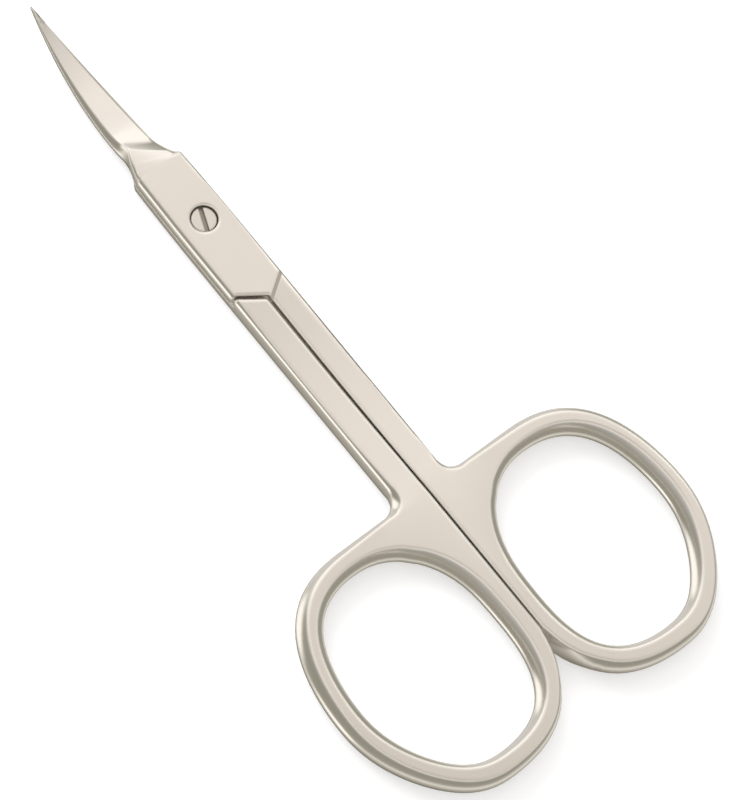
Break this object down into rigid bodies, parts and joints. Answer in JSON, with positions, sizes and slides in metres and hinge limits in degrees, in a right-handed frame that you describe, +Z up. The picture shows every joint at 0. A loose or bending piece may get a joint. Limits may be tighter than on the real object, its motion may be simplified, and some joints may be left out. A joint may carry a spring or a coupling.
{
  "type": "cuticle scissors",
  "caption": "Small forged manicure scissors with curved tapered blades, a flat lap joint on a slotted screw, slim shanks and oval finger rings.",
  "frame": {"origin": "On the surface the closed scissors lie on, under the middle of their length and on the line of the seam between the two halves.", "axes": "+X along the tool towards the tip, +Y towards the ring of the lower half, +Z up, along the pivot and towards the screw head."},
  "size_m": [0.0888, 0.0438, 0.0039],
  "materials": {
    "polished_steel": "polished, with satin flat faces",
    "screw_steel": "polished"
  },
  "bodies": {
    "lower": {"lower_half": "polished_steel", "pivot_screw": "screw_steel"},
    "upper": {"upper_half": "polished_steel"}
  },
  "joints": [
    {"name": "pivot_hinge", "type": "hinge", "parent": "lower", "child": "upper", "pos_m": [0.01715, 0, 0.0017], "axis": [0, 0, 1], "range_deg": [0, 60]}
  ]
}
